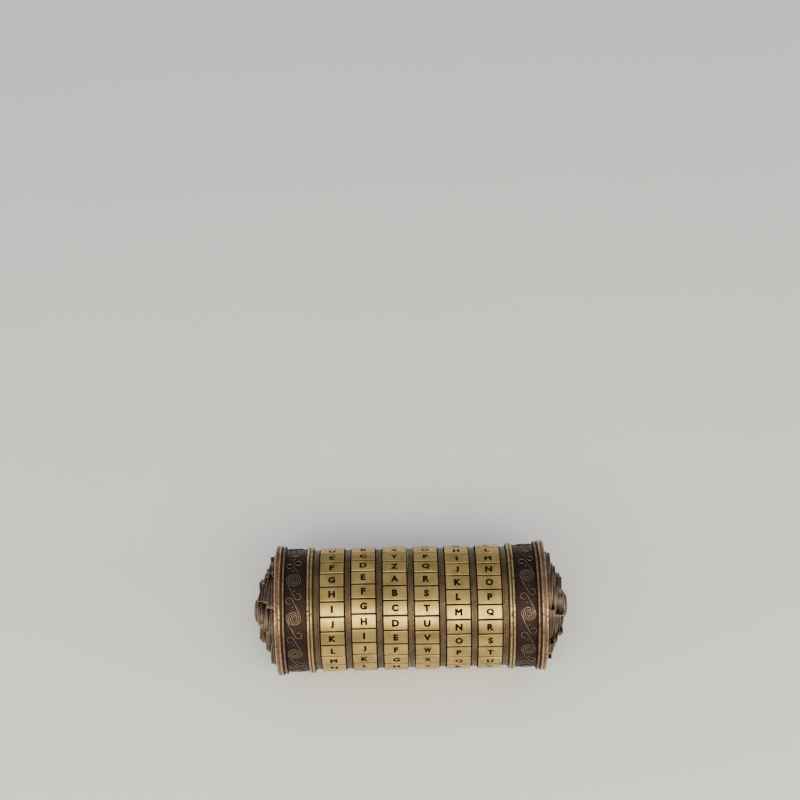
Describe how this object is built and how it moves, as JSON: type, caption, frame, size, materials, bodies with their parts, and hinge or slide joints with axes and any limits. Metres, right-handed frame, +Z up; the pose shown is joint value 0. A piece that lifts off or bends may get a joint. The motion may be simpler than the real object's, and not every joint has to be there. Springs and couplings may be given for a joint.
{
  "type": "cryptex",
  "caption": "Cylindrical letter-lock puzzle box: brass letter dials on a slotted sleeve, with a pull-out tube, scroll bands and stepped rosette ends.",
  "frame": {"origin": "on the cylinder's axis, midway between the tips of its two ends", "axes": "+X along the cylinder's axis towards the end that pulls out, +Z up with the cylinder lying down; the line of the code faces 30 degrees forward of +Z, towards -Y"},
  "size_m": [0.1278, 0.053, 0.053],
  "materials": {
    "tile_brass": "light yellow brass, finely brushed round the dial, with dark engraved letters and a pale bevel along each tile",
    "spacer_bronze": "mottled taupe bronze, worn lighter along its edges",
    "trim_brass": "antique brass with dark patina in its groove",
    "scroll_bronze": "dark purple-brown patina, with the raised scrolls rubbed back to pale bronze",
    "rose_gold": "rose-gold ridges, bright on their crowns, with mottled patina in the valleys",
    "dark_bronze": "dark grey-brown bronze with rose-gold worn edges",
    "tube_brass": "plain turned brass, smooth and slightly dulled",
    "steel": "plain machined steel"
  },
  "bodies": {
    "fixed_half": {"outer_sleeve": "tube_brass", "spacer_ring_1": "spacer_bronze", "spacer_ring_2": "spacer_bronze", "spacer_ring_3": "spacer_bronze", "spacer_ring_4": "spacer_bronze", "spacer_ring_5": "spacer_bronze", "spacer_ring_6": "spacer_bronze", "retaining_nut": "spacer_bronze", "left_end_cap": "dark_bronze", "left_inner_trim": "trim_brass", "left_scroll_band": "scroll_bronze", "left_rim_trim": "rose_gold", "left_rosette_lower": "dark_bronze", "left_rosette_middle": "dark_bronze", "left_rosette_upper": "dark_bronze", "left_end_button": "dark_bronze", "left_cap_screw": "steel", "sleeve_screw_1": "steel", "sleeve_screw_2": "steel", "sleeve_screw_3": "steel"},
    "dial_1": {"letter_ring_1": "tile_brass", "code_ring_1": "steel"},
    "dial_2": {"letter_ring_2": "tile_brass", "code_ring_2": "steel"},
    "dial_3": {"letter_ring_3": "tile_brass", "code_ring_3": "steel"},
    "dial_4": {"letter_ring_4": "tile_brass", "code_ring_4": "steel"},
    "dial_5": {"letter_ring_5": "tile_brass", "code_ring_5": "steel"},
    "dial_6": {"letter_ring_6": "tile_brass", "code_ring_6": "steel"},
    "pull_out_half": {"inner_tube": "tube_brass", "key_lug_1": "steel", "key_lug_2": "steel", "key_lug_3": "steel", "key_lug_4": "steel", "key_lug_5": "steel", "key_lug_6": "steel", "right_end_cap": "dark_bronze", "right_inner_trim": "trim_brass", "right_scroll_band": "scroll_bronze", "right_rim_trim": "rose_gold", "right_rosette_lower": "dark_bronze", "right_rosette_middle": "dark_bronze", "right_rosette_upper": "dark_bronze", "right_end_button": "dark_bronze", "right_cap_screw": "steel", "tube_screw_1": "steel", "tube_screw_2": "steel", "tube_screw_3": "steel"}
  },
  "joints": [
    {"name": "dial_1_turn", "type": "hinge", "parent": "fixed_half", "child": "dial_1", "pos_m": [0, 0, 0], "axis": [1, 0, 0], "continuous": true},
    {"name": "dial_2_turn", "type": "hinge", "parent": "fixed_half", "child": "dial_2", "pos_m": [0, 0, 0], "axis": [1, 0, 0], "continuous": true},
    {"name": "dial_3_turn", "type": "hinge", "parent": "fixed_half", "child": "dial_3", "pos_m": [0, 0, 0], "axis": [1, 0, 0], "continuous": true},
    {"name": "dial_4_turn", "type": "hinge", "parent": "fixed_half", "child": "dial_4", "pos_m": [0, 0, 0], "axis": [1, 0, 0], "continuous": true},
    {"name": "dial_5_turn", "type": "hinge", "parent": "fixed_half", "child": "dial_5", "pos_m": [0, 0, 0], "axis": [1, 0, 0], "continuous": true},
    {"name": "dial_6_turn", "type": "hinge", "parent": "fixed_half", "child": "dial_6", "pos_m": [0, 0, 0], "axis": [1, 0, 0], "continuous": true},
    {"name": "tube_pull", "type": "slide", "parent": "fixed_half", "child": "pull_out_half", "axis": [1, 0, 0], "range_m": [0, 0.095]}
  ]
}
